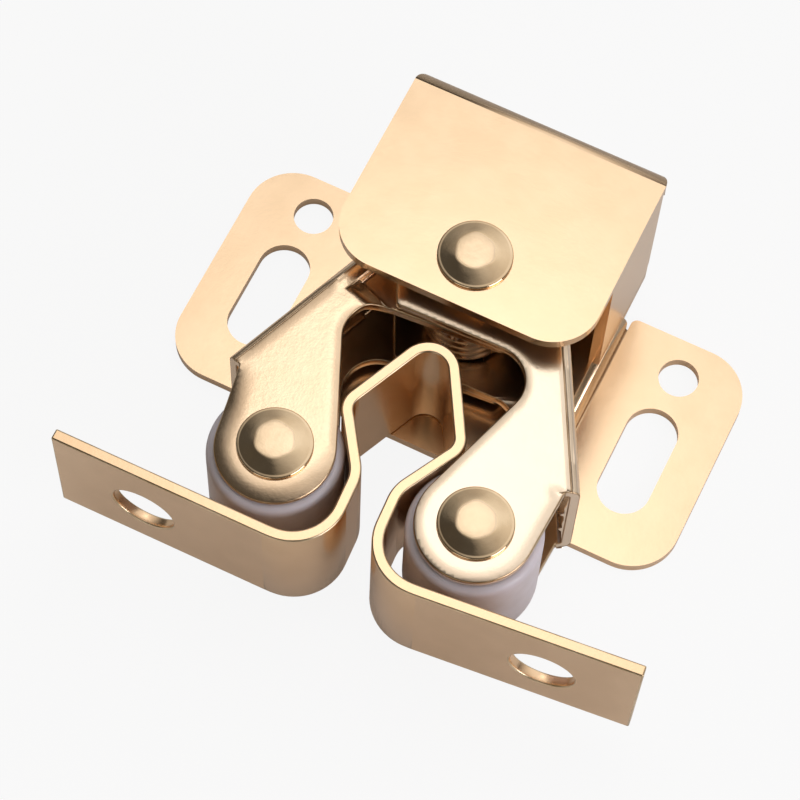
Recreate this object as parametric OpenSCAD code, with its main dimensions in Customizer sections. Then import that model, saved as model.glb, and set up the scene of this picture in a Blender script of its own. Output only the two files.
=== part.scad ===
// Double roller catch with its spear strike, shown latched.
// Millimetres. Z is up from the mounting plane, Y runs to the rear of the housing,
// the origin lies midway between the two round screw holes of the ears.

/* [Housing] */
// Thickness of the housing's sheet
sheet_t = 0.9; // [0.8:0.05:1.0]
// Half of the length over the two ears
ear_x = 22; // [21:0.5:25]
// Front edge of the ears
ear_front = -16.9; // [-18:0.1:-16.5]
// Rear edge of the ears
ear_rear = 3.3; // [3:0.1:5]
// Corner radius of the ears
ear_r = 4.0; // [2:0.5:4.5]
// Distance of the screw holes from the middle
hole_x = 16.45; // [16:0.05:17]
// Radius of the round screw holes
hole_r = 1.64; // [1.4:0.02:1.8]
// Width of the slots
slot_w = 4.3; // [3.6:0.1:4.6]
// Rear arc centre of the slots
slot_rear = -5.4; // [-6:0.1:-5]
// Front arc centre of the slots
slot_front = -10.8; // [-11.5:0.1:-9]
// Height of the floor's underside over the mounting plane
lift = 2.0; // [1.9:0.05:2.1]
// Half width over the joggles between floor and ears
floor_x = 10.85; // [10.8:0.05:11.0]
// Front edge of the floor
floor_front = -15.65; // [-16:0.05:-15.4]
// Outer face of the rear wall
rear_y = 7.8; // [7.5:0.1:9]
// Outer face of the two side flanges
flange_x = 10.45; // [10.4:0.05:10.5]
// Front edge of the side flanges
flange_front = -2.8; // [-3:0.1:0]
// Top of the cover
cover_z = 17.3; // [17.2:0.1:18.5]
// Right half width of the cover
cover_x = 10.53; // [10.5:0.01:10.8]
// Left half width of the cover, which is folded a little off the middle
cover_left = 10.85; // [10.5:0.01:11]
// Front edge of the cover
cover_front = -9.73; // [-10:0.05:-9.5]
// Radius of the cover's front corners
cover_r = 3.9; // [2:0.1:4.5]

/* [Jaws] */
// Thickness of the arms' sheet
arm_t = 0.8; // [0.7:0.05:0.85]
// Underside of the arms
arm_z0 = 3.8; // [3.7:0.05:3.9]
// Top of the arms
arm_z1 = 14.8; // [14.7:0.05:15.2]
// Angle of each arm from the middle plane
arm_a = 22.7; // [22.5:0.1:22.9]
// Distance from the pivot to a roller's axis
arm_len = 20.9; // [20.8:0.05:21]
// Radius of the arm's round end
lobe_r = 4.6; // [4.2:0.05:4.7]
// Distance of the arm's side wall from the pivot line at its front end
wall_x = 7.85; // [7.7:0.05:7.95]
// Lean of the side wall towards the pivot line, degrees
wall_lean = 2.2; // [1.5:0.1:2.5]
// Turn of both jaws and the strike about the pivot, degrees
jaw_swing = 3.1; // [0:0.1:5]
// Radius of the rollers
roller_r = 5.2; // [5.0:0.02:5.22]
// End gap of a roller between the arm's plates
roller_gap = 0.15; // [0.1:0.05:0.3]
// Radius of the rollers' round edges
roller_edge = 0.6; // [0.3:0.05:1]

/* [Pins] */
// Radius of the pivot rivet's shank
pivot_r = 1.9; // [1.6:0.05:2.1]
// Radius of the roller rivets' shanks
axle_r = 1.5; // [1.2:0.05:1.8]
// Radial running clearance of turning pieces
run = 0.05; // [0.03:0.01:0.1]
// Rim radius of the rivet heads
head_r = 2.91; // [2.6:0.01:3.1]
// Radius of the flat on a rivet head
flat_r = 1.5; // [1.2:0.05:1.8]
// Height of the rivet heads
head_h = 0.9; // [0.7:0.05:1.1]

/* [Spring] */
// Wire radius of the arm spring
wire_r = 0.42; // [0.35:0.01:0.44]
// Mean radius of the spring's coil
coil_r = 3.1; // [2.9:0.05:3.15]
// Full turns of the coil
coil_n = 6; // [4:1:6]

/* [Strike] */
// Thickness of the strike's strip
strike_t = 0.9; // [0.8:0.05:0.95]
// Lower edge of the strike
strike_z0 = 3.0; // [2.98:0.01:3.2]
// Upper edge of the strike
strike_z1 = 14.4; // [13.5:0.1:15]
// Half of the length over the strike's legs
strike_x = 23.6; // [22:0.1:25]
// Backward sweep of the legs, degrees
leg_sweep = 2.6; // [1:0.1:2.8]
// Distance of the strike's screw holes from the middle
strike_hole_x = 16.28; // [15:0.05:18]
// Radius of the strike's screw holes
strike_hole_r = 2.58; // [1.8:0.02:2.8]
// Height of the strike's screw holes
strike_hole_z = 8.3; // [8:0.1:9]

/* [Hidden] */
$fn = 64;
pivot_y = -5.4;
arm_mid = (arm_z0 + arm_z1) / 2;
fit_gap = 0.02;
bend_step = 6;
fold_r = 0.75;
joggle_r = 0.6;
relief = 1.2;
flange_gap = 0.05;
cover_gap = 0.2;
lap = 3;
rim_in = 0.12;
rim_draft = 0.06;
rim_low = 0.14;
rim_h = 0.34;
steel = [0.80, 0.72, 0.66];
nylon = [0.92, 0.91, 0.92];
rivet = [0.45, 0.42, 0.34];

function unit(v) = v / norm(v);
function turn(a, b) = a.x * b.y - a.y * b.x;

// Points of one bend at corner q between directions p to q and q to s, on the side e of the middle line
function bend_pts(p, q, s, r, e) =
    let (d1 = unit(q - p), d2 = unit(s - q), k = turn(d1, d2) > 0 ? 1 : -1,
         w = acos(max(-1, min(1, d1 * d2))), l = r * tan(w / 2),
         c = q - d1 * l + [-d1.y, d1.x] * r * k, a = (q - d1 * l - c) / r,
         m = max(1, ceil(w / bend_step)))
    [for (i = [0 : m]) let (g = k * w * i / m)
        c + (r - k * e) * [a.x * cos(g) - a.y * sin(g), a.x * sin(g) + a.y * cos(g)]];

// One side of a folded strip, e to the left of its middle line
function strip_side(pts, rad, e) =
    let (n = len(pts), d0 = unit(pts[1] - pts[0]), d9 = unit(pts[n - 1] - pts[n - 2]))
    concat([pts[0] + e * [-d0.y, d0.x]],
           [for (i = [1 : 1 : n - 2]) each bend_pts(pts[i - 1], pts[i], pts[i + 1], rad[i], e)],
           [pts[n - 1] + e * [-d9.y, d9.x]]);

function flipped(v) = [for (i = [len(v) - 1 : -1 : 0]) v[i]];

// Closed outline with a radius at each corner
function rounded(pts, rad) =
    let (n = len(pts))
    [for (i = [0 : n - 1]) each rad[i] > 0
        ? bend_pts(pts[(i + n - 1) % n], pts[i], pts[(i + 1) % n], rad[i], 0) : [pts[i]]];

// Point where a line from p touches the circle of radius r about c, on the side k
function touch(p, c, r, k) =
    let (u = unit(p - c), g = k * acos(r / norm(p - c)))
    c + r * [u.x * cos(g) - u.y * sin(g), u.x * sin(g) + u.y * cos(g)];

// Folded strip in the plane: corner points, bend radii at the middle of the sheet, thickness
module strip(pts, rad, t) {
    polygon(concat(strip_side(pts, rad, t / 2), flipped(strip_side(pts, rad, -t / 2))));
}

// Rectangle with its own radius at each corner: left front, right front, right rear, left rear
module round_rect(x0, y0, x1, y1, r) {
    difference() {
        translate([x0, y0]) square([x1 - x0, y1 - y0]);
        corner_cut([x0, y0], [1, 1], r[0]);
        corner_cut([x1, y0], [-1, 1], r[1]);
        corner_cut([x1, y1], [-1, -1], r[2]);
        corner_cut([x0, y1], [1, -1], r[3]);
    }
}

module corner_cut(p, s, r) {
    if (r > 0) difference() {
        translate([min(p.x, p.x + s.x * r) - (s.x > 0 ? 1 : 0), min(p.y, p.y + s.y * r) - (s.y > 0 ? 1 : 0)])
            square([r + 1, r + 1]);
        translate([p.x + s.x * r, p.y + s.y * r]) circle(r);
    }
}

// Profile drawn in (y, z), pulled out along x
module along_x(x0, x1) {
    translate([x0, 0, 0]) rotate([90, 0, 90]) linear_extrude(x1 - x0) children();
}

// Profile drawn in (x, z), pulled out along y
module along_y(y0, y1) {
    translate([0, y1, 0]) rotate([90, 0, 0]) linear_extrude(y1 - y0) children();
}

module slot_2d(x) {
    for (y = [slot_rear, slot_front]) translate([x, y]) circle(slot_w / 2);
    translate([x - slot_w / 2, slot_front]) square([slot_w, slot_rear - slot_front]);
}

// Ear, joggle and half of the floor on the side of positive x
module ear_half() {
    h = sheet_t / 2;
    jx = floor_x - h;
    joggle_rear = ear_rear - relief;
    linear_extrude(sheet_t) difference() {
        round_rect(jx + joggle_r, ear_front, ear_x, ear_rear, [joggle_r, ear_r, ear_r, joggle_r]);
        translate([hole_x, 0]) circle(hole_r);
        slot_2d(hole_x);
    }
    along_y(floor_front, joggle_rear)
        strip([[jx + 2 * joggle_r, h], [jx, h], [jx, lift + h], [jx - lap, lift + h]],
              [0, joggle_r, joggle_r, 0], sheet_t);
    translate([-fit_gap, floor_front, lift])
        cube([jx - joggle_r + fit_gap, rear_y - fold_r - h - floor_front, sheet_t]);
    translate([-fit_gap, joggle_rear - fit_gap, lift])
        cube([flange_x + fit_gap, rear_y - fold_r - h - joggle_rear, sheet_t]);
}

// Floor's fold, rear wall and cover, the cover with its own rounded outline
module wall_and_cover() {
    h = sheet_t / 2;
    yw = rear_y - h;
    zc = cover_z - h;
    x1 = flange_x - relief;
    along_x(-x1, x1)
        strip([[rear_y - lap, lift + h], [yw, lift + h], [yw, zc - fold_r - h]], [0, fold_r, 0], sheet_t);
    intersection() {
        along_x(-cover_left, cover_x)
            strip([[yw, zc - lap / 2], [yw, zc], [cover_front, zc]], [0, fold_r, 0], sheet_t);
        translate([0, 0, cover_z - lap]) linear_extrude(2 * lap)
            round_rect(-cover_left, cover_front, cover_x, rear_y, [cover_r, cover_r, relief, relief]);
    }
}

// Side flange folded forward from the rear wall, standing on the floor
module flange() {
    h = sheet_t / 2;
    foot = lift + sheet_t + flange_gap;
    difference() {
        translate([0, 0, foot]) linear_extrude(cover_z - sheet_t - cover_gap - foot)
            strip([[flange_x - lap, rear_y - h], [flange_x - h, rear_y - h], [flange_x - h, flange_front]],
                  [0, fold_r, 0], sheet_t);
        translate([flange_x - relief, rear_y - relief, 0]) cube([2 * relief, 2 * relief, foot + relief]);
    }
}

module housing() {
    color(steel) difference() {
        union() {
            for (k = [0, 1]) mirror([k, 0, 0]) {
                ear_half();
                flange();
            }
            wall_and_cover();
        }
        translate([0, pivot_y, 0]) cylinder(r = pivot_r + fit_gap, h = cover_z + 2);
    }
}

// Rivet head: thin rim, cone and flat, standing on z = 0
module head() {
    cylinder(r = head_r - rim_in, h = rim_low);
    translate([0, 0, rim_low]) cylinder(r1 = head_r, r2 = head_r - rim_draft, h = rim_h - rim_low);
    translate([0, 0, rim_h]) cylinder(r1 = head_r - rim_in, r2 = flat_r, h = head_h - rim_h);
}

module rivet_body(r, z0, z1) {
    translate([0, 0, z0 - rim_h]) cylinder(r = r, h = z1 - z0 + 2 * rim_h);
    translate([0, 0, z1]) head();
    translate([0, 0, z0]) mirror([0, 0, 1]) head();
}

module pivot_rivet() {
    color(rivet) translate([0, pivot_y, 0]) rivet_body(pivot_r, lift, cover_z);
}

// Places what is drawn about the pivot in the jaws' own turned frame
module jaw() {
    translate([0, pivot_y, 0]) rotate(jaw_swing) children();
}

// Sizes of an arm in its own frame: x away from the strike, y from roller to pivot
tab_gap = 0.1;
bend_r = 0.7;
bend_in = bend_r + arm_t / 2;
wall_start = 2.65;
wall_front = wall_start - arm_len;
neck_end = -5.0;
tail_y = 7.95;
tail_r = 2.0;
lobe_flare = 28.4;
notch = [5.8, -8.1];
notch_r = 2.85;
tab_x0 = -5.9;
tab_x1 = 6.6;
tab_y0 = -2.85;
tab_y1 = 4.3;
tab_r = 2.2;
tab_in_r = 0.4;
step_y = -7.3;
step_run = 1.2;
step_bend = 0.9;
lip = 0.9;
lip_run = 0.9;
lip_bend = 0.7;

function wall_at(y) = wall_x - (y - wall_front) * tan(wall_lean);

// Outline of a plate with its tab round the pivot
module plate_2d() {
    c = [0, -arm_len];
    outer = c + lobe_r * [cos(lobe_flare), -sin(lobe_flare)];
    difference() {
        union() {
            translate(c) circle(lobe_r);
            polygon(rounded([c, outer, [outer.x + (wall_front - outer.y) * tan(lobe_flare), wall_front],
                             [wall_at(wall_front) - bend_r, wall_front],
                             [wall_at(neck_end) - bend_r, neck_end], [tab_x1, neck_end],
                             [tab_x1, tab_y1], [tab_x0, tab_y1], [tab_x0, tab_y0], notch,
                             touch(notch, c, lobe_r, 1)],
                            [0, 0, 0, 0, 0, 0, tab_r, tab_r, tab_in_r, notch_r, 0]));
        }
        circle(pivot_r + run);
    }
}

// Area between the base line and a folded line moved by e to its left
module under(pts, rad, e) {
    side = strip_side(pts, rad, e);
    polygon(concat(side, [[side[len(side) - 1].x, 0], [side[0].x, 0]]));
}

// Body below the stepped plate, whose top lies e above the middle of the sheet: the plate steps up
// across the neck and beside the wall's bend, which keeps its level as far as the neck goes
module below_step(e) {
    low = arm_z0 + arm_t / 2;
    high = low + arm_t + tab_gap;
    far = 2 * arm_len;
    intersection() {
        along_x(-far, far)
            under([[-far, low], [step_y - step_run / 2, low], [step_y + step_run / 2, high], [far, high]],
                  [0, step_bend, step_bend, 0], e);
        union() {
            translate([wall_x, wall_front, 0]) rotate(wall_lean) along_y(-far, far)
                under([[-far, high], [-lip - lip_run, high], [-lip, low], [far, low]],
                      [0, lip_bend, lip_bend, 0], e);
            translate([-far, neck_end, 0]) cube([2 * far, far, arm_z1]);
        }
    }
}

// Plate whose tab is stepped by the thickness of the other arm's tab
module stepped_plate() {
    difference() {
        intersection() {
            linear_extrude(arm_z1) plate_2d();
            below_step(arm_t / 2);
        }
        below_step(-arm_t / 2);
    }
}

// One jaw arm, right-hand pose: plain tab on top, stepped tab below
module arm() {
    h = arm_t / 2;
    bend_len = neck_end - wall_front;
    difference() {
        union() {
            translate([0, 0, arm_z1 - arm_t]) linear_extrude(arm_t) plate_2d();
            stepped_plate();
            translate([wall_x, wall_front, 0]) rotate(wall_lean) {
                along_y(0, bend_len) translate([-h, 0])
                    strip([[-2 * bend_r, arm_z1 - h], [0, arm_z1 - h],
                           [0, arm_z0 + h], [-2 * bend_r, arm_z0 + h]], [0, bend_r, bend_r, 0], arm_t);
                along_x(-arm_t, 0)
                    round_rect(bend_len - bend_r, arm_z0 + bend_in, tail_y - wall_front, arm_z1 - bend_in,
                               [0, tail_r, tail_r, 0]);
            }
        }
        translate([0, -arm_len, 0]) cylinder(r = axle_r + fit_gap, h = 2 * arm_z1);
    }
}

module right_arm() {
    color(steel) jaw() rotate(arm_a) arm();
}

// The same stamping turned over about its length
module left_arm() {
    color(steel) jaw() rotate(-arm_a) translate([0, 0, arm_mid]) rotate([0, 180, 0])
        translate([0, 0, -arm_mid]) arm();
}

module at_roller(side) {
    jaw() rotate(side * arm_a) translate([0, -arm_len, 0]) children();
}

// Roller with a round edge at each end
module roller() {
    z0 = arm_z0 + arm_t + roller_gap;
    z1 = arm_z1 - arm_t - roller_gap;
    x0 = axle_r + run;
    color(nylon) rotate_extrude() polygon(rounded([[x0, z0], [roller_r, z0], [roller_r, z1], [x0, z1]],
                                                  [0, roller_edge, roller_edge, 0]));
}

module left_roller() {
    at_roller(-1) roller();
}

module right_roller() {
    at_roller(1) roller();
}

module left_roller_rivet() {
    color(rivet) at_roller(-1) rivet_body(axle_r, arm_z0, arm_z1);
}

module right_roller_rivet() {
    color(rivet) at_roller(1) rivet_body(axle_r, arm_z0, arm_z1);
}

// Torsion spring: a coil about the pivot and two legs that press the arms' tails apart
coil_gap = 0.25;
coil_z0 = arm_z0 + 2 * arm_t + tab_gap + coil_gap + wire_r;
coil_z1 = arm_z1 - 2 * arm_t - tab_gap - coil_gap - wire_r;
leg_lean = 16.8;
leg_a = arm_a - leg_lean;
leg_l = 8.9;
turn0 = 180 - leg_a;
turn1 = (coil_n + 1) * 360 + leg_a;
turn_steps = 24;
coil_steps = turn_steps * coil_n + 8;
ring_n = 10;
coil_pts = [for (i = [0 : coil_steps]) let (u = i / coil_steps, a = turn0 + (turn1 - turn0) * u)
    [coil_r * cos(a), coil_r * sin(a), coil_z0 + (coil_z1 - coil_z0) * u]];
leg0 = coil_pts[0] + leg_l * [sin(turn0), -cos(turn0), 0];
leg1 = coil_pts[coil_steps] + leg_l * [-sin(turn1), cos(turn1), 0];
wire_pts = concat([leg0], coil_pts, [leg1]);

// Round wire along a list of points that winds about the z axis
module wire(p, r) {
    n = len(p);
    rings = [for (i = [0 : n - 1])
        let (d = unit(i == 0 ? p[1] - p[0] : i == n - 1 ? p[n - 1] - p[n - 2] : p[i + 1] - p[i - 1]),
             s = unit(cross(d, [0, 0, 1])), w = cross(s, d))
        for (k = [0 : ring_n - 1]) p[i] + r * (s * cos(k * 360 / ring_n) + w * sin(k * 360 / ring_n))];
    polyhedron(rings, concat(
        [[for (k = [0 : ring_n - 1]) k]],
        [for (i = [0 : n - 2], k = [0 : ring_n - 1]) let (m = (k + 1) % ring_n)
            each [[i * ring_n + k, (i + 1) * ring_n + k, (i + 1) * ring_n + m],
                  [i * ring_n + k, (i + 1) * ring_n + m, i * ring_n + m]]],
        [[for (k = [ring_n - 1 : -1 : 0]) (n - 1) * ring_n + k]]), convexity = 12);
}

module arm_spring() {
    color(steel) jaw() wire(wire_pts, wire_r);
}

// Strike strip in the jaws' frame: its flanks and legs pass the rollers with a set clearance
tip_y = -4.63;
spear_a = 27;
flank_a = 31;
strike_gap = 0.08;
neck_gap = 0.77;
leg_gap = 0.75;
foot_run = 0.5;
tip_bend = 1.95;
barb_bend = 1.55;
throat_bend = 3;
foot_bend = 3.85;
sweep_bend = 6;
axle = arm_len * [sin(arm_a), -cos(arm_a)];
grip = roller_r + strike_t / 2;
seat = axle + (grip + strike_gap) * [-cos(flank_a), sin(flank_a)];
throat_x = axle.x - grip - neck_gap;
throat = [throat_x, seat.y - (seat.x - throat_x) / tan(flank_a)];
barb_y = (tip_y * tan(spear_a) - seat.x + seat.y * tan(flank_a)) / (tan(flank_a) + tan(spear_a));
barb = [(tip_y - barb_y) * tan(spear_a), barb_y];
leg_y = axle.y - grip - leg_gap;
sweep_from = throat_x + foot_bend + foot_run;
leg_end = [strike_x, leg_y + (strike_x - sweep_from) * tan(leg_sweep)];

module strike() {
    h = strike_z1 - strike_z0;
    color(steel) jaw() difference() {
        translate([0, 0, strike_z0]) linear_extrude(h)
            strip([[-leg_end.x, leg_end.y], [-sweep_from, leg_y], [-throat.x, leg_y], [-throat.x, throat.y],
                   [-barb.x, barb.y], [0, tip_y], barb, throat, [throat.x, leg_y], [sweep_from, leg_y],
                   leg_end],
                  [0, sweep_bend, foot_bend, throat_bend, barb_bend, tip_bend, barb_bend, throat_bend,
                   foot_bend, sweep_bend, 0], strike_t);
        for (s = [-1, 1]) translate([s * strike_hole_x, leg_y, strike_hole_z])
            rotate([90, 0, s * leg_sweep])
                cylinder(r = strike_hole_r, h = 6 * strike_t, center = true);
    }
}

housing();
pivot_rivet();
left_arm();
right_arm();
left_roller();
right_roller();
left_roller_rivet();
right_roller_rivet();
arm_spring();
strike();
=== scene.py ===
"""Looks of the double roller catch: plated sheet, formed rivets, nylon rollers and the strike."""
import math

import bmesh
import bpy
from mathutils import Matrix, Vector
from mathutils.bvhtree import BVHTree


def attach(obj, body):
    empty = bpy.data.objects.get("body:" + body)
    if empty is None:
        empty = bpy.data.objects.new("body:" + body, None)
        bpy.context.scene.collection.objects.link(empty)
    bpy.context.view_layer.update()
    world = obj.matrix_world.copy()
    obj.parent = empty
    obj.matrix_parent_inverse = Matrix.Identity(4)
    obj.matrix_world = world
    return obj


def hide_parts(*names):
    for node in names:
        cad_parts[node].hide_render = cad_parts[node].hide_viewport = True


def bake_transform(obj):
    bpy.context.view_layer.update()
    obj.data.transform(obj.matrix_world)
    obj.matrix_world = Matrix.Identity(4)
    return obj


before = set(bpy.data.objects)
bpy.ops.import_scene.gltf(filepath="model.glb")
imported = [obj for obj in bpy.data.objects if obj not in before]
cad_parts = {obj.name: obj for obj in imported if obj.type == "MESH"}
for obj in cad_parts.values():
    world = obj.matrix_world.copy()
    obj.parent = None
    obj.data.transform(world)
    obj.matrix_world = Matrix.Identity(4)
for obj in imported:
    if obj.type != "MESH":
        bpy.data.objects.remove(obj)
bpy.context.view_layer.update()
MM = 0.001

# Places and sizes that the part's source gives, in millimetres and degrees
PIVOT = Vector((0.0, -5.4, 0.0))
PIVOT_SHANK = 1.9
FLOOR_LOW, COVER_TOP = 2.0, 17.3
SWING = 3.1
ARM_ANGLE = 22.7
ARM_LENGTH = 20.9
ARM_LOW, ARM_HIGH = 3.8, 14.8
ARM_SHEET = 0.8
WALL_X, WALL_FRONT, WALL_LEAN = 7.85, -18.25, 2.2
ROLLER_SHANK = 1.5
ROLLER_BORE = 1.55
ROLLER_PLAY = 0.15
COIL_TURNS = 6
COIL_RADIUS = 3.1
COIL_LOW, COIL_HIGH = 6.17, 12.43
LEG_LEAN = 16.8
LEG_LENGTH = 8.9
WIRE = 0.42

# Sheared edges: the width broken off each sheet's rim, and the least angle of an edge that is broken
HOUSING_EDGE, ARM_EDGE, STRIKE_EDGE = 0.14, 0.10, 0.13
SHARP_ANGLE = 28.0
EDGE_STEPS = 3

# A corner of the break that lies further off the solid than this gap is drawn back to it and merged
STRAY_GAP = 0.09
STRAY_MERGE = 0.03
SLIVER = 0.002

# Points this near, in metres, are one; a solid's own corners are merged more widely, and its faces
# that turn by less than this angle are one plane
SAME_POINT = 1e-7
SAME_CORNER = 2e-6
SAME_PLANE = 0.5

# Plane faces from this area up, in square millimetres, are shaded flat, with all that lies in
# their planes
FLAT_AREA, ARM_FLAT_AREA = 7.0, 3.5
FLAT_ANGLE = 0.3

# Upright part of a face's normal: a level face has more than the first, a sheared side less than the
# second, and a fold lies between
LEVEL, STEEP = 0.999, 0.3

# Droop of the arms' upper plates: width and depth along the sides, then round the end.
# The left arm is turned over, and the side that it shows droops further
LEFT_ROLLS = (0.8, 0.12, 1.7, 0.5)
RIGHT_ROLLS = (0.8, 0.12, 0.8, 0.14)

# The plates are cut into cells over these spans of an arm's own frame, down to the plate's depth,
# and what lies within the droop's depth goes down; holes keep clear, and it fades in towards the end
# of the arm and away from the folds
ROLL_CELL = 0.3
ROLL_SPAN_X, ROLL_SPAN_Y = (-7.0, 8.0), (-26.0, 5.0)
PLATE_DEPTH = 0.95
ROLL_DEPTH = 0.3
HOLE_CLEAR = 2.5
END_BLEND = 3.0
FOLD_BLEND = 0.8

# Burr at the front end of an arm's wall: (height, how far it stands out), its root and its sheet
BURR = [(5.3, 0.0), (6.2, 0.06), (6.9, 0.12), (7.4, 0.40), (7.6, 0.10), (8.4, 0.17), (9.2, 0.09),
        (9.9, 0.15), (10.2, 0.46), (10.5, 0.13), (11.3, 0.20), (12.1, 0.07), (13.2, 0.0)]
BURR_ROOT = 0.12
BURR_SHEET = (0.1, 0.2)

# Turned pieces: steps round, a rivet head from rim to flat with its uneven outline, and a roller's end
ROUND_STEPS = 96
HEAD = [(2.78, 0.0), (2.86, 0.05), (2.91, 0.15), (2.90, 0.24), (2.82, 0.30), (2.72, 0.31),
        (2.64, 0.35), (1.98, 0.66), (1.62, 0.83), (1.50, 0.875), (1.36, 0.895), (0.8, 0.90), (0, 0.90)]
HEAD_FLAT = 1.8
UNEVEN_FROM, UNEVEN_TO = 1.2, 1.75
UNEVEN = 0.02
ROLLER_END = [(ROLLER_BORE, 0.0), (4.6, 0.0), (4.83, 0.05), (5.02, 0.18), (5.15, 0.37),
              (5.2, 0.6), (5.2, 1.0)]

# Arm spring: sides of the wire, steps a turn, cuts of a leg, and where a leg starts to follow its arm
WIRE_SIDES = 16
COIL_STEPS = 40
LEG_CUTS = 14
LEG_BEND = (3.5, 5.0)

# Camera in the part's frame, in millimetres, and its axes
CAMERA_PLACE = Vector((35.813, -102.608, 214.862))
CAMERA_RIGHT = Vector((0.898705, 0.437910, 0.023750))
CAMERA_UP = Vector((-0.406811, 0.812205, 0.418124))
CAMERA_BACK = Vector((0.163811, -0.385432, 0.908079))
LENS = 132.39
SENSOR = 36.0

# Lamps, in metres and watts: (name, place, size, power, colour), all aimed at one point
AIM = (0, -0.01, 0.01)
LAMPS = [
    ("overhead", (-0.10, 0.10, 0.64), (0.40, 0.34), 0.125, (1.0, 1.0, 1.0)),
    ("key", (-0.095, 0.23, 0.64), (0.12, 0.12), 0.045, (1.0, 1.0, 1.0)),
    ("front_fill", (-0.02, -0.40, 0.08), (0.24, 0.12), 0.10, (1.0, 0.93, 0.86)),
    ("right_fill", (0.34, -0.10, 0.14), (0.20, 0.20), 0.58, (0.96, 0.94, 1.0)),
]

# Tent: its bright side, and how light it is by how far a ray points that way
TENT_AXIS = Vector((0.12, 0.60, 0.79))
TENT_DARK = (0.10, (0.08, 0.07, 0.055))
TENT_BRIGHT = (0.93, (0.96, 0.96, 0.96))
TENT_LEVELS = ((0.44, 0.07), (0.50, 0.20), (0.62, 0.38), (0.74, 0.62), (0.86, 0.80))
TENT_TINT = (1.0, 0.97, 0.93)

# Floor, in metres, and how white it is made where the camera sees it and where it is mirrored
FLOOR_HALF = 2.0
FLOOR_DROP = 0.00002
FLOOR_SEEN, FLOOR_MIRRORED = 0.9, 0.1

# Plated metals: name, (light tint, dark tint, roughness from and to, orange peel, waves)
METALS = {
    "champagne_plate": ((0.92, 0.665, 0.43), (0.88, 0.63, 0.40), (0.20, 0.26), 0.45, 0.5),
    "left_arm_plate": ((0.90, 0.67, 0.45), (0.84, 0.61, 0.40), (0.20, 0.26), 1.9, 0.5),
    # The right arm is the housing's metal; its paler tints are a painted highlight, for its brightly lit
    # plate
    "right_arm_plate": ((0.92, 0.75, 0.57), (0.89, 0.71, 0.53), (0.20, 0.26), 0.8, 0.5),
    "strike_plate": ((0.93, 0.645, 0.40), (0.89, 0.61, 0.37), (0.20, 0.28), 0.8, 0.5),
    # Break of the housing's and arms' sheared edges: tints much darker than the plate, painted shade for
    # the dark reflections along the edges
    "edge_painted_shade": ((0.66, 0.47, 0.29), (0.40, 0.27, 0.15), (0.24, 0.40), 3.0, 0.5),
    "strike_edge": ((0.88, 0.69, 0.46), (0.62, 0.45, 0.26), (0.24, 0.36), 3.0, 0.5),
    "rivet_plate": ((0.94, 0.72, 0.47), (0.82, 0.60, 0.37), (0.08, 0.14), 0.6, 0.8),
    "rivet_flat": ((0.94, 0.71, 0.47), (0.78, 0.58, 0.37), (0.24, 0.34), 2.2, 0.8),
    "spring_plate": ((0.74, 0.54, 0.36), (0.66, 0.47, 0.31), (0.22, 0.32), 0.5, 0.4),
}
NYLON_LIGHT, NYLON_DARK = (0.74, 0.69, 0.74), (0.66, 0.60, 0.63)

# Relief of the plating and of the nylon, its depth in metres
RELIEF_DEPTH = 0.00002
PLATING_BUMP, NYLON_BUMP = 0.25, 0.12


def jaw_turn(degrees=0.0):
    """Turn about the pivot from the jaws' own frame, or from one arm's, to the part's frame."""
    return Matrix.Translation(PIVOT * MM) @ Matrix.Rotation(math.radians(SWING + degrees), 4, "Z")


def turned_over():
    """The left arm is the same stamping, turned over about its length."""
    middle = Vector((0, 0, (ARM_LOW + ARM_HIGH) / 2 * MM))
    return Matrix.Translation(middle) @ Matrix.Rotation(math.pi, 4, "Y") @ Matrix.Translation(-middle)


def set_camera():
    """Camera at the photograph's viewing angle."""
    data = bpy.data.cameras.new("camera")
    data.sensor_width = SENSOR
    data.lens = LENS
    data.clip_start = 0.01
    camera = bpy.data.objects.new("camera", data)
    turn = Matrix((CAMERA_RIGHT, CAMERA_UP, CAMERA_BACK)).transposed().to_4x4()
    camera.matrix_world = Matrix.Translation(CAMERA_PLACE * MM) @ turn
    bpy.context.scene.collection.objects.link(camera)
    bpy.context.scene.camera = camera


def softbox(name, place, size, power, colour):
    """Rectangular lamp aimed at the part."""
    data = bpy.data.lights.new(name, "AREA")
    data.shape = "RECTANGLE"
    data.size, data.size_y = size
    data.energy = power
    data.color = colour
    lamp = bpy.data.objects.new(name, data)
    lamp.location = place
    lamp.rotation_euler = (Vector(AIM) - Vector(place)).to_track_quat("-Z", "Y").to_euler()
    bpy.context.scene.collection.objects.link(lamp)


def tint_ramp(tree, dark, light):
    """Ramp between two stops, each (place, tint)."""
    ramp = tree.nodes.new("ShaderNodeValToRGB")
    for stop, (place, tint) in zip(ramp.color_ramp.elements, (dark, light)):
        stop.position = place
        stop.color = (*tint, 1)
    return ramp


def set_world():
    """A pale tent, bright overhead and behind, dark in front and to the left."""
    world = bpy.data.worlds.new("studio")
    bpy.context.scene.world = world
    world.use_nodes = True
    tree = world.node_tree
    tree.nodes.clear()
    out = tree.nodes.new("ShaderNodeOutputWorld")
    room = tree.nodes.new("ShaderNodeBackground")
    coords = tree.nodes.new("ShaderNodeTexCoord")
    towards = tree.nodes.new("ShaderNodeVectorMath")
    towards.operation = "DOT_PRODUCT"
    towards.inputs[1].default_value = TENT_AXIS.normalized()
    tree.links.new(coords.outputs["Generated"], towards.inputs[0])
    ramp = tint_ramp(tree, TENT_DARK, TENT_BRIGHT)
    for place, level in TENT_LEVELS:
        red, green, blue = (level * tint for tint in TENT_TINT)
        ramp.color_ramp.elements.new(place).color = (red, green, blue, 1)
    tree.links.new(towards.outputs["Value"], ramp.inputs[0])
    tree.links.new(ramp.outputs[0], room.inputs["Color"])
    tree.links.new(room.outputs[0], out.inputs["Surface"])


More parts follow.
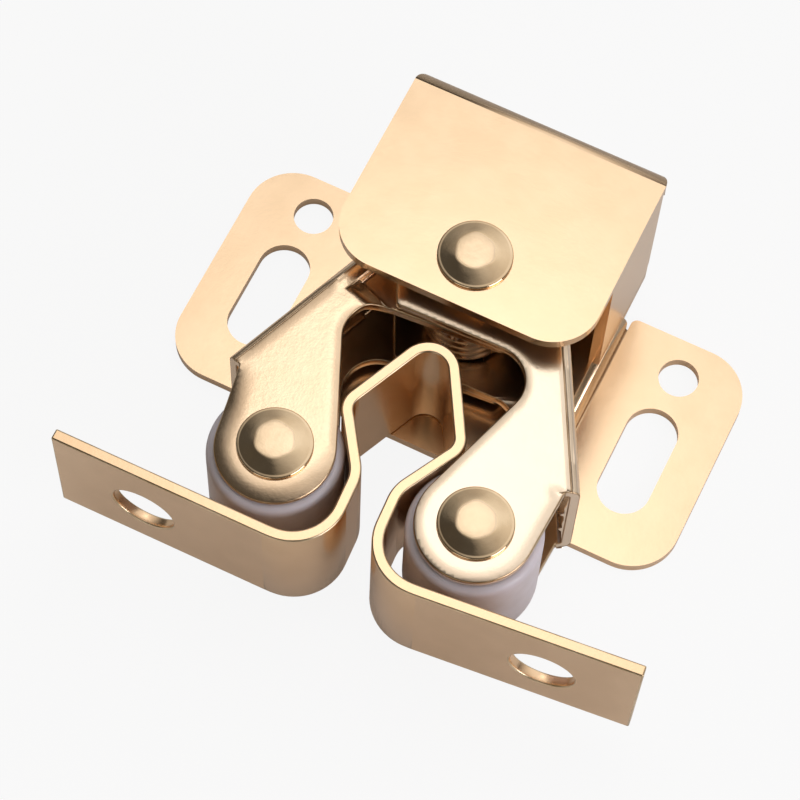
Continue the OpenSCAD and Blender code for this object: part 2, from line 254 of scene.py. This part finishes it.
def node_group(name, inputs, outputs):
    """Empty shader group with float inputs {name: value} and outputs {name: socket type}."""
    group = bpy.data.node_groups.new(name, "ShaderNodeTree")
    for label, value in inputs.items():
        socket = group.interface.new_socket(label, in_out="INPUT", socket_type="NodeSocketFloat")
        socket.default_value = value
    for label, kind in outputs.items():
        group.interface.new_socket(label, in_out="OUTPUT", socket_type=kind)
    start = group.nodes.new("NodeGroupInput")
    end = group.nodes.new("NodeGroupOutput")
    return group, start, end


def noise(group, coords, scale, detail):
    """Noise over the given coordinates."""
    node = group.nodes.new("ShaderNodeTexNoise")
    node.inputs["Scale"].default_value = scale
    node.inputs["Detail"].default_value = detail
    node.inputs["Roughness"].default_value = 0.5
    group.links.new(coords, node.inputs["Vector"])
    return node.outputs["Fac"]


def math_node(tree, kind, a, b):
    """Sum, product or greater of two values, each a number or a socket."""
    node = tree.nodes.new("ShaderNodeMath")
    node.operation = kind
    for socket, value in zip(node.inputs, (a, b)):
        if isinstance(value, (int, float)):
            socket.default_value = value
        else:
            tree.links.new(value, socket)
    return node.outputs[0]


def plating_group():
    """Grain of bright plating on rolled sheet: fine orange peel, soft waves and faint clouds."""
    group, start, end = node_group(
        "plating_grain",
        {"Peel": 1.0, "Waves": 1.0},
        {"Height": "NodeSocketFloat", "Clouds": "NodeSocketFloat"},
    )
    coords = group.nodes.new("ShaderNodeTexCoord").outputs["Object"]
    peel = noise(group, coords, scale=2600.0, detail=2.0)
    fine = noise(group, coords, scale=7000.0, detail=1.0)
    waves = noise(group, coords, scale=260.0, detail=1.0)
    clouds = noise(group, coords, scale=420.0, detail=3.0)
    grains = math_node(group, "ADD", peel, math_node(group, "MULTIPLY", fine, 0.4))
    grains = math_node(group, "MULTIPLY", grains, start.outputs["Peel"])
    swell = math_node(group, "MULTIPLY", start.outputs["Waves"], 6.0)
    height = math_node(group, "ADD", grains, math_node(group, "MULTIPLY", waves, swell))
    group.links.new(height, end.inputs["Height"])
    group.links.new(clouds, end.inputs["Clouds"])
    return group


def new_material(name):
    """Material with its node tree and its Principled shader."""
    material = bpy.data.materials.new(name)
    material.use_nodes = True
    tree = material.node_tree
    shader = next(n for n in tree.nodes if n.type == "BSDF_PRINCIPLED")
    return material, tree, shader


def grained(tree, shader, group, dark, light, bump):
    """Lay the grain on a shader: a tint from dark to light in soft clouds, and fine relief."""
    grain = tree.nodes.new("ShaderNodeGroup")
    grain.node_tree = group
    ramp = tint_ramp(tree, dark, light)
    tree.links.new(grain.outputs["Clouds"], ramp.inputs[0])
    tree.links.new(ramp.outputs[0], shader.inputs["Base Color"])
    relief = tree.nodes.new("ShaderNodeBump")
    relief.inputs["Strength"].default_value = bump
    relief.inputs["Distance"].default_value = RELIEF_DEPTH
    tree.links.new(grain.outputs["Height"], relief.inputs["Height"])
    tree.links.new(relief.outputs[0], shader.inputs["Normal"])
    return grain


def metal(name, group, light, dark, rough, peel, waves):
    """Plated metal: two close tints in soft clouds, roughness that follows them, and grain."""
    material, tree, shader = new_material(name)
    grain = grained(tree, shader, group, (0.35, dark), (0.65, light), PLATING_BUMP)
    grain.inputs["Peel"].default_value = peel
    grain.inputs["Waves"].default_value = waves
    span = tree.nodes.new("ShaderNodeMapRange")
    span.inputs["To Min"].default_value = rough[0]
    span.inputs["To Max"].default_value = rough[1]
    tree.links.new(grain.outputs["Clouds"], span.inputs["Value"])
    tree.links.new(span.outputs[0], shader.inputs["Roughness"])
    shader.inputs["Metallic"].default_value = 1.0
    return material


def nylon_material(group):
    """Satin white nylon that lets a little light in."""
    material, tree, shader = new_material("white_nylon")
    grained(tree, shader, group, (0.3, NYLON_DARK), (0.7, NYLON_LIGHT), NYLON_BUMP)
    shader.inputs["Roughness"].default_value = 0.38
    shader.inputs["Subsurface Weight"].default_value = 0.25
    shader.inputs["Subsurface Radius"].default_value = (0.0012, 0.001, 0.0009)
    shader.inputs["Subsurface Scale"].default_value = 1.0
    return material


def floor_material():
    """White paper that keeps the object's shadow, to the camera and in metal and nylon."""
    material, tree, shader = new_material("pale_floor")
    shader.inputs["Base Color"].default_value = (0.76, 0.76, 0.76, 1)
    shader.inputs["Roughness"].default_value = 0.9
    shader.inputs["Specular IOR Level"].default_value = 0.1
    path = tree.nodes.new("ShaderNodeLightPath").outputs
    mirrored = math_node(tree, "MAXIMUM", path["Is Glossy Ray"], path["Is Transmission Ray"])
    share = math_node(tree, "MAXIMUM", math_node(tree, "MULTIPLY", path["Is Camera Ray"], FLOOR_SEEN),
                      math_node(tree, "MULTIPLY", mirrored, FLOOR_MIRRORED))
    white = tree.nodes.new("ShaderNodeEmission")
    white.inputs["Strength"].default_value = 1.0
    mix = tree.nodes.new("ShaderNodeMixShader")
    tree.links.new(share, mix.inputs[0])
    tree.links.new(shader.outputs[0], mix.inputs[1])
    tree.links.new(white.outputs[0], mix.inputs[2])
    out = next(n for n in tree.nodes if n.type == "OUTPUT_MATERIAL")
    tree.links.new(mix.outputs[0], out.inputs["Surface"])
    return material


def finish_piece(mesh_bm, name, materials, body, nodes, bend=None):
    """Turn a bmesh into a piece that stands for CAD nodes and rides on a body; given a bend, it rides on
    none and its place is baked into its points, the bend's arm and points not used.
    """
    mesh = bpy.data.meshes.new(name)
    mesh_bm.to_mesh(mesh)
    mesh_bm.free()
    piece = bpy.data.objects.new(name, mesh)
    bpy.context.scene.collection.objects.link(piece)
    for material in materials:
        piece.data.materials.append(material)
    if bend:
        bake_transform(piece)
    else:
        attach(piece, body)
    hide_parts(*nodes)


def smooth_but_flats(bm, flat_area=FLAT_AREA):
    """Smooth shading, with the large plane faces and all that lies in their planes left truly flat."""
    flat = [f for f in bm.faces if f.calc_area() > flat_area * MM * MM]
    for face in bm.faces:
        face.smooth = True
    while flat:
        face = flat.pop()
        face.smooth = False
        for edge in face.edges:
            if edge.is_manifold and edge.calc_face_angle(1) < math.radians(FLAT_ANGLE):
                flat += [f for f in edge.link_faces if f.smooth]


def distance(point, start, end):
    """Distance of a point from a line from start to end, seen from above."""
    along = end - start
    t = max(0.0, min(1.0, (point - start).dot(along) / max(along.length_squared, 1e-18)))
    return (point - start - along * t).length


def upper_faces(bm):
    """Level faces on top of an arm."""
    return [f for f in bm.faces if f.normal.z > LEVEL and f.calc_center_median().z > (ARM_HIGH - 0.01) * MM]


def punched_rim(bm, back):
    """Sheared outline of an arm's upper plate and its fold lines, in the arm's own frame, without holes."""
    centre = Vector((0, -ARM_LENGTH * MM))
    rim, folds = [], []
    for edge in {e for f in upper_faces(bm) for e in f.edges}:
        ends = [(back @ v.co).xy for v in edge.verts]
        lean = min(abs(f.normal.z) for f in edge.link_faces)
        if lean < STEEP and all(min((end - centre).length, end.length) > HOLE_CLEAR * MM for end in ends):
            rim.append(ends)
        elif STEEP <= lean < LEVEL:
            folds.append(ends)
    return rim, folds


def roll_plate(bm, place, rim, folds, width, drop, lobe_width, lobe_drop):
    """Droop of an arm's upper plate towards its punched edge, strongest round its end."""
    back = place.inverted()
    for axis, (first, last) in ((Vector((1, 0, 0)), ROLL_SPAN_X), (Vector((0, 1, 0)), ROLL_SPAN_Y)):
        for step in range(int((last - first) / ROLL_CELL)):
            plate = [f for f in bm.faces if all(v.co.z > (ARM_HIGH - PLATE_DEPTH) * MM for v in f.verts)]
            geom = list({part for f in plate for part in (*f.verts, *f.edges)}) + plate
            bmesh.ops.bisect_plane(bm, geom=geom, dist=SAME_POINT, plane_no=place.to_3x3() @ axis,
                                   plane_co=place @ (axis * (first + step * ROLL_CELL) * MM))
    for vert in bm.verts:
        here = back @ vert.co
        if here.z > (ARM_HIGH - ROLL_DEPTH) * MM:
            near = min(distance(here.xy, *ends) for ends in rim) / MM
            fold = min(distance(here.xy, *ends) for ends in folds) / MM
            fade = min(1.0, max(0.0, (-here.y / MM - ARM_LENGTH + END_BLEND) / END_BLEND))
            roll = drop * max(0.0, 1.0 - near / width) ** 2
            end_roll = lobe_drop * max(0.0, 1.0 - near / lobe_width) ** 2
            vert.co.z -= (roll + (end_roll - roll) * fade) * min(1.0, fold / FOLD_BLEND) * MM


def add_burr(bm, place):
    """Ragged burr left by the shear on the inner edge of the wall's front end."""
    end = place @ Matrix.Translation(Vector((WALL_X, WALL_FRONT, 0)) * MM) @ Matrix.Rotation(
        math.radians(WALL_LEAN), 4, "Z")
    outline = [(-ARM_SHEET - spike, z) for z, spike in BURR]
    outline += [(-ARM_SHEET + BURR_ROOT, BURR[-1][0]), (-ARM_SHEET + BURR_ROOT, BURR[0][0])]
    sheets = []
    for y in BURR_SHEET:
        sheets.append([bm.verts.new(end @ (Vector((x, y, z)) * MM)) for x, z in outline])
    count = len(outline)
    faces = [bm.faces.new(sheets[0]), bm.faces.new(sheets[1][::-1])]
    for i in range(count):
        j = (i + 1) % count
        faces.append(bm.faces.new((sheets[0][j], sheets[0][i], sheets[1][i], sheets[1][j])))
    bmesh.ops.recalc_face_normals(bm, faces=faces)


def edged_copy(node, width, place=None, rolls=None):
    """The node's own solid, merged, its sharp edges broken as sheared sheet has them, the break tinted
    darker as painted shade.

    The arms' break isn't clamped: their shortest edges would narrow all of it to nothing. What it
    throws out of the solid there is drawn back.
    """
    bm = bmesh.new()
    bm.from_mesh(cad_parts[node].data)
    bmesh.ops.remove_doubles(bm, verts=bm.verts, dist=SAME_CORNER)
    bmesh.ops.dissolve_limit(bm, angle_limit=math.radians(SAME_PLANE), verts=bm.verts, edges=bm.edges)
    outline = punched_rim(bm, place.inverted()) if rolls else None
    sharp = [e for e in bm.edges if e.is_manifold and e.calc_face_angle(0) > math.radians(SHARP_ANGLE)
             and not all(f.normal.z > 0.5 for f in e.link_faces)]
    solid = BVHTree.FromBMesh(bm)
    broken = bmesh.ops.bevel(bm, geom=sharp, offset=width * MM, offset_type="OFFSET", segments=EDGE_STEPS,
                             profile=0.5, affect="EDGES", clamp_overlap=not rolls, material=-1)
    # The break takes the darker edge tints, painted shade
    for face in broken["faces"]:
        face.material_index = 1
    strays = []
    for vert in bm.verts:
        nearest, _, _, gap = solid.find_nearest(vert.co)
        if gap > STRAY_GAP * MM:
            vert.co = nearest
            strays.append(vert)
    bmesh.ops.remove_doubles(bm, verts=strays, dist=STRAY_MERGE * MM)
    bmesh.ops.dissolve_degenerate(bm, dist=SLIVER * MM, edges=bm.edges)
    if rolls:
        roll_plate(bm, place, *outline, *rolls)
    smooth_but_flats(bm, ARM_FLAT_AREA if rolls else FLAT_AREA)
    return bm


def lathe(profile, place):
    """Full turn of a profile [(radius, height)] in millimetres about a vertical axis."""
    bm = bmesh.new()
    verts = [bm.verts.new((r * MM, 0, z * MM)) for r, z in profile]
    edges = [bm.edges.new(pair) for pair in zip(verts[:-1], verts[1:])]
    bmesh.ops.spin(bm, geom=verts + edges, cent=(0, 0, 0), axis=(0, 0, 1), angle=math.tau,
                   steps=ROUND_STEPS, use_merge=True)
    bmesh.ops.remove_doubles(bm, verts=bm.verts, dist=SAME_POINT)
    bmesh.ops.recalc_face_normals(bm, faces=bm.faces)
    smooth_but_flats(bm)
    bm.transform(place)
    return bm


def head_profile(base, side):
    """Formed rivet head from its rim to its flat, above (side 1) or below (-1) the base level."""
    return [(r, base + side * z) for r, z in HEAD]


def rivet_bm(shank, low, high, place):
    """Rivet with a formed head at each end, its flats a little uneven and of their own finish."""
    top = head_profile(high, 1)
    bottom = head_profile(low, -1)
    profile = bottom[::-1] + [(shank, low), (shank, high)] + top
    bm = lathe(profile, place)
    centre = place.translation.xy
    for vert in bm.verts:
        out = vert.co.xy - centre
        if UNEVEN_FROM * MM < out.length < UNEVEN_TO * MM and not low * MM < vert.co.z < high * MM:
            turn = math.atan2(out.y, out.x)
            swell = math.cos(6 * turn + 0.9) + math.cos(3 * turn)
            vert.co.xy = centre + out * (1.0 + UNEVEN * swell)
    for face in bm.faces:
        if face.normal.z > 0.95 and (face.calc_center_median().xy - centre).length < HEAD_FLAT * MM:
            face.material_index = 1
    return bm


def roller_bm(place):
    """Plain roller between an arm's plates, with rounded ends and a bore."""
    low, high = ARM_LOW + ARM_SHEET + ROLLER_PLAY, ARM_HIGH - ARM_SHEET - ROLLER_PLAY
    rise = [(r, low + z) for r, z in ROLLER_END]
    fall = [(r, high - z) for r, z in reversed(ROLLER_END)]
    return lathe(rise + fall + [(ROLLER_BORE, low)], place)


def spring_half(place, way):
    """Half of the arm spring: coil from its middle by a spin that climbs or sinks, then its leg.

    Gives the mesh, and the two points between which the leg starts to follow its arm.
    """
    sweep = math.radians(COIL_TURNS * 360.0 + 180.0 + 2.0 * (ARM_ANGLE - LEG_LEAN))
    first = math.radians(180.0 - ARM_ANGLE + LEG_LEAN)
    middle = first + sweep / 2
    end = middle + way * sweep / 2
    steps = COIL_STEPS * COIL_TURNS // 2
    bm = bmesh.new()
    half_up = (COIL_LOW + COIL_HIGH) / 2
    centre = Vector((COIL_RADIUS * math.cos(middle), COIL_RADIUS * math.sin(middle), half_up))
    across = Matrix.Rotation(middle, 4, "Z") @ Matrix.Rotation(math.radians(90), 4, "X")
    ring = bmesh.ops.create_circle(bm, cap_ends=True, radius=WIRE * MM, segments=WIRE_SIDES,
                                   matrix=Matrix.Translation(centre * MM) @ across)["verts"]
    start_edges = list({e for v in ring for e in v.link_edges})
    climb = way * (COIL_HIGH - COIL_LOW) / 2 * MM / steps
    spun = bmesh.ops.spin(bm, geom=ring + start_edges, cent=(0, 0, 0), axis=(0, 0, 1),
                          dvec=(0, 0, climb), angle=way * sweep / 2, steps=steps, use_merge=False)
    end_edges = [e for e in spun["geom_last"] if isinstance(e, bmesh.types.BMEdge)]
    leg = Vector((-math.sin(end), math.cos(end), 0)) * way
    drawn = bmesh.ops.extrude_edge_only(bm, edges=end_edges)["geom"]
    tip = [v for v in drawn if isinstance(v, bmesh.types.BMVert)]
    bmesh.ops.translate(bm, verts=tip, vec=leg * LEG_LENGTH * MM)
    bmesh.ops.contextual_create(bm, geom=[e for e in drawn if isinstance(e, bmesh.types.BMEdge)
                                          and all(v in tip for v in e.verts)])
    drawn_edges = [e for e in bm.edges if e.calc_length() > LEG_LENGTH / 2 * MM]
    bmesh.ops.subdivide_edges(bm, edges=drawn_edges, cuts=LEG_CUTS)
    bmesh.ops.remove_doubles(bm, verts=bm.verts, dist=SAME_POINT)
    bmesh.ops.recalc_face_normals(bm, faces=bm.faces)
    smooth_but_flats(bm)
    bm.transform(place)
    root = Vector((COIL_RADIUS * math.cos(end), COIL_RADIUS * math.sin(end), 0)) * MM
    return bm, [place @ (root + leg * far * MM) for far in LEG_BEND]


def lay_floor(material):
    """Plain floor under the part."""
    bm = bmesh.new()
    bmesh.ops.create_grid(bm, x_segments=1, y_segments=1, size=FLOOR_HALF)
    mesh = bpy.data.meshes.new("floor")
    bm.to_mesh(mesh)
    bm.free()
    floor = bpy.data.objects.new("floor", mesh)
    floor.data.materials.append(material)
    floor.location.z = -FLOOR_DROP
    bpy.context.scene.collection.objects.link(floor)


# The scene
set_camera()
set_world()
for lamp in LAMPS:
    softbox(*lamp)

grain = plating_group()
metals = {name: metal(name, grain, *looks) for name, looks in METALS.items()}
nylon = nylon_material(grain)
# Second look of a sheet: its break, in the darker tints of painted shade
housing_looks = [metals["champagne_plate"], metals["edge_painted_shade"]]
strike_looks = [metals["strike_plate"], metals["strike_edge"]]
rivet_looks = [metals["rivet_plate"], metals["rivet_flat"]]

finish_piece(edged_copy("housing", HOUSING_EDGE), "housing_sheet", housing_looks,
             "housing", ["housing"])
for side, sign, rolls in (("left", -1, LEFT_ROLLS), ("right", 1, RIGHT_ROLLS)):
    place = jaw_turn(sign * ARM_ANGLE)
    # The right arm's paler tints are a painted highlight
    arm_looks = [metals[side + "_arm_plate"], metals["edge_painted_shade"]]
    arm = edged_copy(side + "_arm", ARM_EDGE, place=place, rolls=rolls)
    add_burr(arm, place if sign > 0 else place @ turned_over())
    finish_piece(arm, side + "_arm_sheet", arm_looks, side + "_arm", [side + "_arm"])
finish_piece(edged_copy("strike", STRIKE_EDGE), "strike_strip", strike_looks,
             "strike", ["strike"])

finish_piece(rivet_bm(PIVOT_SHANK, FLOOR_LOW, COVER_TOP, jaw_turn()), "pivot_rivet_formed", rivet_looks,
             "housing", ["pivot_rivet"])
for side, sign in (("left", -1), ("right", 1)):
    place = jaw_turn(sign * ARM_ANGLE) @ Matrix.Translation((0, -ARM_LENGTH * MM, 0))
    finish_piece(rivet_bm(ROLLER_SHANK, ARM_LOW, ARM_HIGH, place), side + "_rivet_formed", rivet_looks,
                 side + "_arm", [side + "_roller_rivet"])
    finish_piece(roller_bm(place), side + "_roller_turned", [nylon], side + "_roller",
                 [side + "_roller"])
for side, way in (("left", -1), ("right", 1)):
    half, bend = spring_half(jaw_turn(), way)
    finish_piece(half, side + "_spring_wire", [metals["spring_plate"]], "jaw_pair",
                 ["arm_spring"], (side + "_arm", *bend))
lay_floor(floor_material())

bpy.context.scene.view_settings.view_transform = "Standard"
